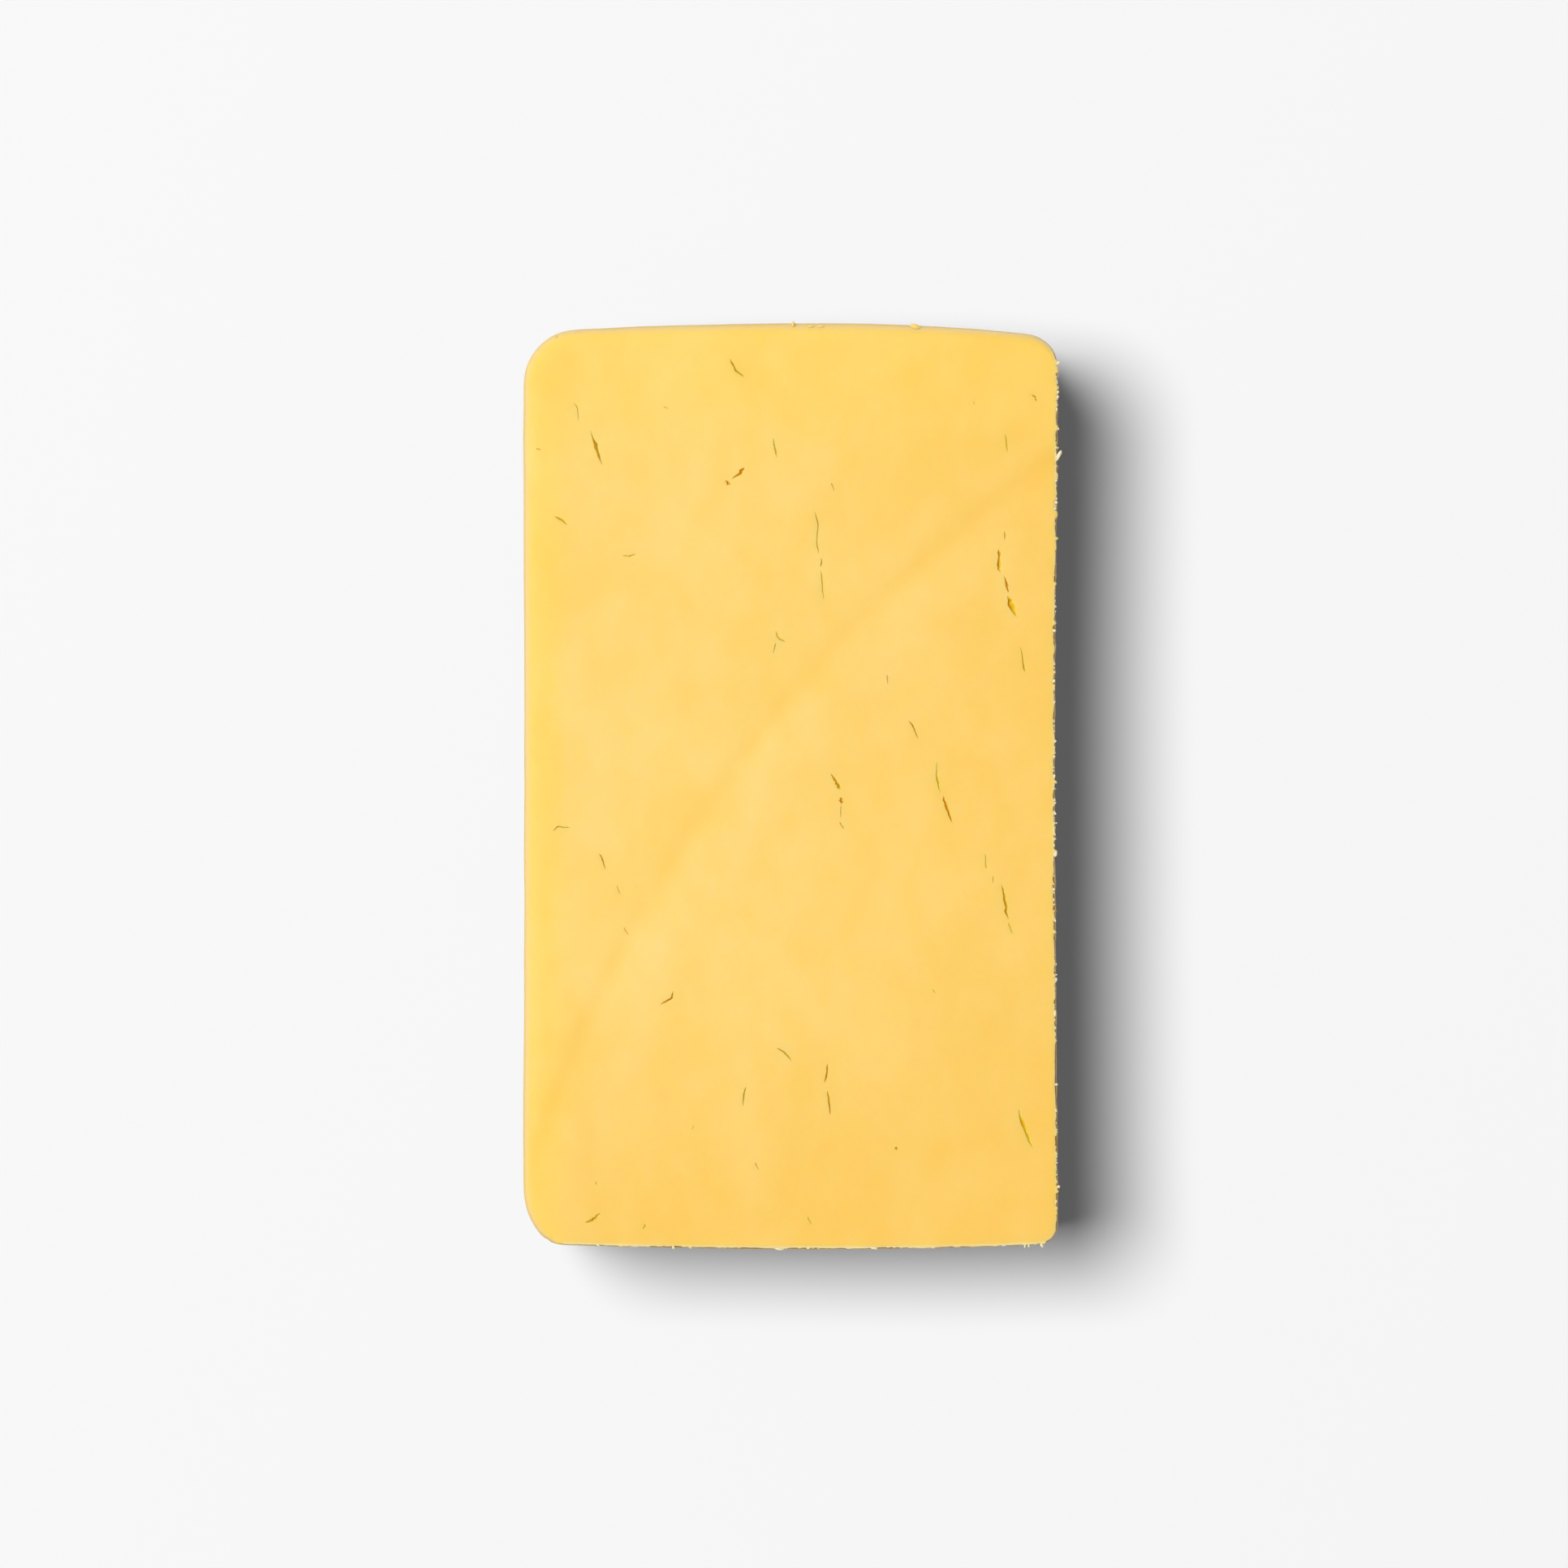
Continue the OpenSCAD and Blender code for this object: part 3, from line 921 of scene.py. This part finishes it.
# How far below the rim the strip of painted shade begins and ends.
STRIP_TOP = (0.02 * MM, 0.14 * MM)
STRIP_FOOT = (0.25 * MM, 0.5 * MM)
STRIP_REACH = 1.5 * MM


def on_burr(place):
    """1 at the rim, 0 a few tenths of a millimetre away. It reaches further in at the front."""
    _, number, distance = rim_tree.find(place)
    front = smoothstep(*FRONT_BEGINS, rim_rows[number][2])
    return 1 - smoothstep(0, BURR_WIDTH + FRONT_BURR_EXTRA * front, distance)


def painted_shade_under_lip(place):
    """1 on the strip of wall just under the burr, where shade is painted, 0 elsewhere."""
    nearest, number, distance = rim_tree.find(place)
    run = rim_rows[number][2]
    ends = smoothstep(*SHADE_STARTS, run) * smoothstep(*SHADE_ENDS, rim_rows[-1][2] - run)
    below = nearest.z - place[2]
    strip = smoothstep(*STRIP_TOP, below) * (1 - smoothstep(*STRIP_FOOT, below))
    return strip * ends * (distance < STRIP_REACH)


# %% Where the colour is painted darker, and where it yellows
SHADE_RIGHT_SHARE = 0.55
SHADE_FRONT_SHARE = 0.6
SHADE_FROM_LEFT = 20 * MM
SHADE_FROM_FRONT = 45 * MM
YELLOW_BACK = 0.85
YELLOW_FROM_BACK = (24 * MM, 4 * MM)
YELLOW_BAND_INSET = 3.2 * MM
YELLOW_BAND_HALF_WIDTH = 2.2 * MM


def right_front_shade_share(places):
    """How much painted shade darkens the colour, towards the right and the front, away from the
    lamp.
    """
    right = smoothstep(low.x + SHADE_FROM_LEFT, high.x, places[:, 0])
    front = smoothstep(low.y + SHADE_FROM_FRONT, low.y, places[:, 1])
    return 1 - (1 - SHADE_RIGHT_SHARE * right) * (1 - SHADE_FRONT_SHARE * front)


def rind_share(places):
    """How far the colour has yellowed, in a band by the left rim and towards the back."""
    from_band = places[:, 0] - low.x - YELLOW_BAND_INSET
    left = np.exp(-(from_band / YELLOW_BAND_HALF_WIDTH) ** 2)
    begins, full = YELLOW_FROM_BACK
    back = smoothstep(high.y - begins, high.y - full, places[:, 1])
    return np.maximum(left, YELLOW_BACK * back)


# %% Paint the block
places = read_vectors(block.data, "co")
normals = skin_normals[[skin_tree.find(place)[1] for place in places]]
masks = {
    "crease": crease(places, normals),
    "edge": dried_and_lit_edge_share(places, normals),
    "cut": cut_share(places, normals),
    "burr": [on_burr(place) for place in places],
    "under": [painted_shade_under_lip(place) for place in places],
    "deep": right_front_shade_share(places),
    "rind": rind_share(places),
}
for name, values in masks.items():
    paint(block, name, values)
print("mean of each mask:", {name: round(float(np.mean(v)), 3) for name, v in masks.items()})

# %% [markdown]
# ## Materials
#
# Cheddar is waxy and translucent: light goes in, scatters for a few millimetres and comes out
# yellower. That is subsurface scattering. On top of it, patches a few millimetres wide are a
# little paler or deeper, where curds knitted together. The patches and the fine grain are used
# by all three materials, so each is a node group with its own inputs.

# %% Node helpers
def new_group(name, inputs, outputs):
    """A shader node group with named sockets, and its input and output nodes."""
    group = bpy.data.node_groups.new(name, "ShaderNodeTree")
    for socket, kind, value in inputs:
        made = group.interface.new_socket(socket, in_out="INPUT", socket_type=kind)
        if value is not None:
            made.default_value = value
    for socket, kind in outputs:
        group.interface.new_socket(socket, in_out="OUTPUT", socket_type=kind)
    return group, group.nodes.new("NodeGroupInput"), group.nodes.new("NodeGroupOutput")


def node(tree, kind, settings=None, **inputs):
    """A node with its settings, and its inputs set to values or linked to sockets."""
    made = tree.nodes.new(kind)
    for name, value in (settings or {}).items():
        setattr(made, name, value)
    for name, value in inputs.items():
        socket = made.inputs[int(name[1:])] if name[1:].isdigit() else made.inputs[name]
        if isinstance(value, bpy.types.NodeSocket):
            tree.links.new(value, socket)
        else:
            socket.default_value = value
    return made


def maths(tree, operation, *values):
    """The result of a Math node."""
    slots = {f"_{slot}": value for slot, value in enumerate(values)}
    return node(tree, "ShaderNodeMath", {"operation": operation}, **slots).outputs[0]


def mix_colour(tree, share, first, second, blend="MIX"):
    """A colour mixed from two others."""
    made = node(tree, "ShaderNodeMix", {"data_type": "RGBA", "blend_type": blend},
                _0=share, _6=first, _7=second)
    return made.outputs[2]


def spread(tree, value, from_low, from_high, to_low=0.0, to_high=1.0):
    """A value's range moved to another range."""
    made = node(tree, "ShaderNodeMapRange", None, Value=value, _1=from_low, _2=from_high,
                _3=to_low, _4=to_high)
    return made.outputs[0]


# %% Curd patches
def build_curd_patches():
    """Soft patches, with the wide ones bent by a finer noise and drawn out lengthwise."""
    group, given, result = new_group(
        "Curd patches",
        [("Vector", "NodeSocketVector", None), ("Patch size", "NodeSocketFloat", 9 * MM),
         ("Pale", "NodeSocketColor", (1, 1, 1, 1)), ("Deep", "NodeSocketColor", (1, 1, 1, 1))],
        [("Color", "NodeSocketColor"), ("Share", "NodeSocketFloat")])
    drawn = node(group, "ShaderNodeMapping", None, Vector=given.outputs["Vector"],
                 Scale=(1.25, 0.8, 1.0)).outputs[0]
    per_metre = maths(group, "DIVIDE", 1.0, given.outputs["Patch size"])
    wide = node(group, "ShaderNodeTexNoise", None, Vector=drawn, Scale=per_metre,
                Detail=3.0, Roughness=0.5, Distortion=0.6).outputs["Fac"]
    small = node(group, "ShaderNodeTexNoise", None, Vector=drawn,
                 Scale=maths(group, "MULTIPLY", per_metre, 3.5),
                 Detail=4.0, Roughness=0.55).outputs["Fac"]
    share = spread(group, maths(group, "MULTIPLY_ADD", small, 0.75, wide), 0.68, 1.07)
    group.links.new(share, result.inputs["Share"])
    colour = mix_colour(group, share, given.outputs["Pale"], given.outputs["Deep"])
    group.links.new(colour, result.inputs["Color"])
    return group


# %% Fine grain
def build_fine_grain():
    """Height of the skin's fine grain, in metres: soft pores and finer pimples."""
    group, given, result = new_group(
        "Fine grain",
        [("Vector", "NodeSocketVector", None), ("Pore size", "NodeSocketFloat", 0.9 * MM),
         ("Height", "NodeSocketFloat", 0.02 * MM)],
        [("Height", "NodeSocketFloat")])
    per_metre = maths(group, "DIVIDE", 1.0, given.outputs["Pore size"])
    pores = node(group, "ShaderNodeTexNoise", None, Vector=given.outputs["Vector"],
                 Scale=per_metre, Detail=5.0, Roughness=0.6).outputs["Fac"]
    height = maths(group, "MULTIPLY", pores, given.outputs["Height"])
    group.links.new(height, result.inputs["Height"])
    return group


curd_patches = build_curd_patches()
fine_grain = build_fine_grain()


# %% [markdown]
# Each material starts the same way: a principled shader, and object coordinates, which stay with
# the cheese wherever it is carried.

# %% Starting a material
def start(material):
    """An empty node tree with an output, a principled shader and object coordinates."""
    material.use_nodes = True
    tree = material.node_tree
    tree.nodes.clear()
    output = tree.nodes.new("ShaderNodeOutputMaterial")
    shader = tree.nodes.new("ShaderNodeBsdfPrincipled")
    tree.links.new(shader.outputs[0], output.inputs["Surface"])
    return tree, shader, node(tree, "ShaderNodeTexCoord").outputs["Object"]


def use_group(tree, group, **inputs):
    """A copy of a node group with its inputs set. Underscores stand for spaces."""
    return node(tree, "ShaderNodeGroup", {"node_tree": group},
                **{name.replace("_", " "): value for name, value in inputs.items()})


def set_body(shader, gloss, flesh, reach):
    """A faint gloss, and light that goes in and scatters furthest in red, least in blue."""
    shader.inputs["Specular IOR Level"].default_value = gloss
    shader.inputs["Subsurface Weight"].default_value = flesh
    shader.inputs["Subsurface Radius"].default_value = (1.0, 0.55, 0.14)
    shader.inputs["Subsurface Scale"].default_value = reach


def set_relief(tree, shader, height):
    """Relief too fine to model, from a height in metres."""
    bump = node(tree, "ShaderNodeBump", None, Strength=1.0, Distance=1.0, Height=height)
    tree.links.new(bump.outputs[0], shader.inputs["Normal"])


# %% [markdown]
# The cheddar's own colour is a warm light yellow. Over it lie thin layers, as a painter would
# glaze it. Some tint what is beneath: painted shade in the crease and a painted highlight on the
# swelling beside it, painted shade that darkens the right and the front, the yellowed parts,
# and painted warm bounce light on the cut walls, which lie in shade. Others cover it: the
# rounded edges, which dry first and turn paler and are painted lighter where they turn from
# the lamp, the cream-coloured burr, and the painted brown shade under it. Each lies where its
# mask says.

# %% Cheddar colour
PALE_YELLOW = (0.903, 0.638, 0.188, 1)
DEEP_YELLOW = (0.898, 0.612, 0.150, 1)
# Dried edges, also painted light where they turn away from the lamp.
DRIED_AND_LIT_EDGE = (0.92, 0.66, 0.295, 1)
OUTERMOST_DRIED_AND_LIT_EDGE = (0.985, 0.85, 0.62, 1)
BURR_CREAM = (0.90, 0.72, 0.37, 1)
# Painted shade on the wall under the burr's lip.
UNDER_LIP_PAINTED_SHADE = (0.30, 0.17, 0.04, 1)
# Painted warm bounce light on the cut walls, which lie in shade.
CUT_WALL_PAINTED_WARM_LIGHT = (1.06, 0.97, 0.80, 1)
# Painted shade in the crease, and a painted highlight on the swelling beside it.
CREASE_PAINTED_SHADE = (0.995, 0.965, 0.86, 1)
SWELLING_PAINTED_HIGHLIGHT = (1.0, 1.02, 1.12, 1)
# Painted shade, darker and deeper towards the right and the front, away from the lamp.
RIGHT_FRONT_PAINTED_SHADE = (0.985, 0.89, 0.62, 1)
YELLOWED_TINT = (1.0, 1.01, 0.80, 1)

tree, shader, at = start(cheddar)
patches = use_group(tree, curd_patches, Vector=at, Patch_size=13 * MM,
                    Pale=PALE_YELLOW, Deep=DEEP_YELLOW)
marks = {name: node(tree, "ShaderNodeAttribute", {"attribute_name": name}).outputs["Fac"]
         for name in masks}
layers = [
    # painted shade in the crease, then a painted highlight on the swelling beside it
    (spread(tree, marks["crease"], 0.0, 1.0), CREASE_PAINTED_SHADE, "MULTIPLY"),
    (spread(tree, marks["crease"], 0.0, -SWELLING_SHARE), SWELLING_PAINTED_HIGHLIGHT, "MULTIPLY"),
    # painted shade towards the right and the front
    (marks["deep"], RIGHT_FRONT_PAINTED_SHADE, "MULTIPLY"),
    (marks["rind"], YELLOWED_TINT, "MULTIPLY"),
    # painted warm bounce light on the shaded cut walls
    (marks["cut"], CUT_WALL_PAINTED_WARM_LIGHT, "MULTIPLY"),
    # dried edges, with painted light where they turn away from the lamp
    (spread(tree, marks["edge"], 0.0, 0.6), DRIED_AND_LIT_EDGE, "MIX"),
    (spread(tree, marks["edge"], 0.5, 1.0), OUTERMOST_DRIED_AND_LIT_EDGE, "MIX"),
    (marks["burr"], BURR_CREAM, "MIX"),
    # painted shade under the burr
    (marks["under"], UNDER_LIP_PAINTED_SHADE, "MIX"),
]
colour = patches.outputs["Color"]
for share, layer, blend in layers:
    colour = mix_colour(tree, share, colour, layer, blend)
tree.links.new(colour, shader.inputs["Base Color"])
print("cheddar colour layers:", len(layers))

# %% [markdown]
# The bump adds only what is too fine to model: grain everywhere, and on the cut walls the fine
# drag lines of the wire, which are the same grain drawn out upright. The skin is waxy, so its
# gloss is faint and broad.

# %% Cheddar skin
WAXY_ROUGHNESS = (0.5, 0.62)

grain = use_group(tree, fine_grain, Vector=at, Pore_size=1.1 * MM, Height=0.025 * MM)
drag = node(tree, "ShaderNodeMapping", None, Vector=at, Scale=(1.0, 1.0, 0.12)).outputs[0]
lines = use_group(tree, fine_grain, Vector=drag, Pore_size=0.5 * MM, Height=0.22 * MM)
wire = maths(tree, "MULTIPLY_ADD", lines.outputs[0], marks["cut"], grain.outputs[0])
set_relief(tree, shader, wire)
tree.links.new(spread(tree, patches.outputs["Share"], 0.0, 1.0, *WAXY_ROUGHNESS),
               shader.inputs["Roughness"])
set_body(shader, gloss=0.12, flesh=0.5, reach=2.5 * MM)

# %% [markdown]
# Inside a fissure the cheese was never pressed smooth or dried. Its walls are a deeper gold,
# partly from that and partly as painted bounce light, for the light that bounces between them.

# %% Fissure walls
# A deeper gold than the block: partly the undried cheese, partly painted bounce light.
FISSURE_PALE = (0.93, 0.60, 0.03, 1)
FISSURE_DEEP = (0.90, 0.46, 0.008, 1)

tree, shader, at = start(fissure_wall)
patches = use_group(tree, curd_patches, Vector=at, Patch_size=1.5 * MM,
                    Pale=FISSURE_PALE, Deep=FISSURE_DEEP)
tree.links.new(patches.outputs["Color"], shader.inputs["Base Color"])
grain = use_group(tree, fine_grain, Vector=at, Pore_size=0.4 * MM, Height=0.05 * MM)
set_relief(tree, shader, grain.outputs[0])
shader.inputs["Roughness"].default_value = 0.6
set_body(shader, gloss=0.05, flesh=1.0, reach=2.0 * MM)

# %% [markdown]
# The crumbs along the rim are thin and have dried through, so they are paler and duller than the
# block. Those on the walls have kept more of its yellow.

# %% Crumbs
CRUMB_PALE = (0.93, 0.80, 0.52, 1)
CRUMB_DEEP = (0.92, 0.72, 0.36, 1)
WALL_CRUMB = (0.94, 0.64, 0.17, 1)

DRIED_FADE = (0.8 * MM, 2 * MM)

paint(crumbs, "dried", 1 - smoothstep(*DRIED_FADE, rim_distances(crumbs)))

tree, shader, at = start(crumb_cheese)
patches = use_group(tree, curd_patches, Vector=at, Patch_size=2.0 * MM,
                    Pale=CRUMB_PALE, Deep=CRUMB_DEEP)
dried_mark = node(tree, "ShaderNodeAttribute", {"attribute_name": "dried"}).outputs["Fac"]
colour = mix_colour(tree, dried_mark, WALL_CRUMB, patches.outputs["Color"])
tree.links.new(colour, shader.inputs["Base Color"])
grain = use_group(tree, fine_grain, Vector=at, Pore_size=0.25 * MM, Height=0.03 * MM)
set_relief(tree, shader, grain.outputs[0])
shader.inputs["Roughness"].default_value = 0.65
set_body(shader, gloss=0.15, flesh=0.3, reach=0.6 * MM)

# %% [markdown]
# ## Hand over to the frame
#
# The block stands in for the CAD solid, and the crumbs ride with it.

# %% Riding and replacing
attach(block, "root")
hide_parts("cheese")
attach(crumbs, "root")

# %% [markdown]
# ## Floor, light and camera
#
# The block lies on a plain pale floor. A large round lamp hangs almost overhead, a little to the
# back left, so the block's shadow falls to the right and slightly to the front. It is built of
# two discs, a bright one and a wide dim one, like a softbox that is brightest in the middle: that
# gives the shadow its soft outer edge. A dim even sky fills the rest. The cheese is hidden from
# bounced light, so it throws no yellow glow onto the floor, which stays neutral.

# %% Floor
bpy.ops.object.select_all(action="DESELECT")
bpy.ops.mesh.primitive_plane_add(size=12, location=(0, 0, 0))
floor = bpy.context.object
floor.name = "floor"
paper = bpy.data.materials.new("paper")
tree, shader, at = start(paper)
shader.inputs["Base Color"].default_value = (0.84, 0.84, 0.84, 1)
shader.inputs["Roughness"].default_value = 0.9
shader.inputs["Specular IOR Level"].default_value = 0.1
floor.data.materials.append(paper)

# %% Lamp
LAMP_DISTANCE = 6.0
LAMP_TILT_LEFT = math.radians(15.8)
LAMP_TILT_BACK = math.radians(6.6)
LAMP_POWER = 452.0
# Each disc's half angle, in degrees, and its share of the power.
LAMP_DISCS = {"lamp": (11.4, 0.84), "glow": (38.0, 0.16)}

towards_lamp = Vector((-math.tan(LAMP_TILT_LEFT), math.tan(LAMP_TILT_BACK), 1)).normalized()
for name, (half_angle, share) in LAMP_DISCS.items():
    bpy.ops.object.light_add(type="AREA", location=middle + towards_lamp * LAMP_DISTANCE)
    lamp = bpy.context.object
    lamp.name = name
    lamp.rotation_euler = towards_lamp.to_track_quat("Z", "Y").to_euler()
    lamp.data.shape = "DISK"
    lamp.data.size = 2 * LAMP_DISTANCE * math.tan(math.radians(half_angle))
    lamp.data.energy = LAMP_POWER * share
for piece in (block, crumbs):
    piece.visible_diffuse = False
print("lamp discs:", list(LAMP_DISCS))

# %% Sky
SKY_FILL = 0.02
SKY_SEEN = 0.88

world = bpy.data.worlds.new("sky")
bpy.context.scene.world = world
world.use_nodes = True
sky = world.node_tree
seen = node(sky, "ShaderNodeLightPath").outputs["Is Camera Ray"]
strength = spread(sky, seen, 0.0, 1.0, SKY_FILL, SKY_SEEN)
sky.links.new(strength, sky.nodes["Background"].inputs["Strength"])
sky.nodes["Background"].inputs["Color"].default_value = (1, 1, 1, 1)
bpy.context.scene.view_settings.view_transform = "Standard"

# %% Camera
LENS = 200
FRAME_WIDTH = 205.5 * MM
CAMERA_LEFT = 0.8 * MM
CAMERA_BACK = 0.2 * MM

bpy.ops.object.camera_add()
camera = bpy.context.object
camera.data.lens = LENS
distance = FRAME_WIDTH * LENS / camera.data.sensor_width
camera.location = (middle.x - CAMERA_LEFT, middle.y + CAMERA_BACK, high.z + distance)
bpy.context.scene.camera = camera
print("camera above the top face, mm:", round(distance / MM))
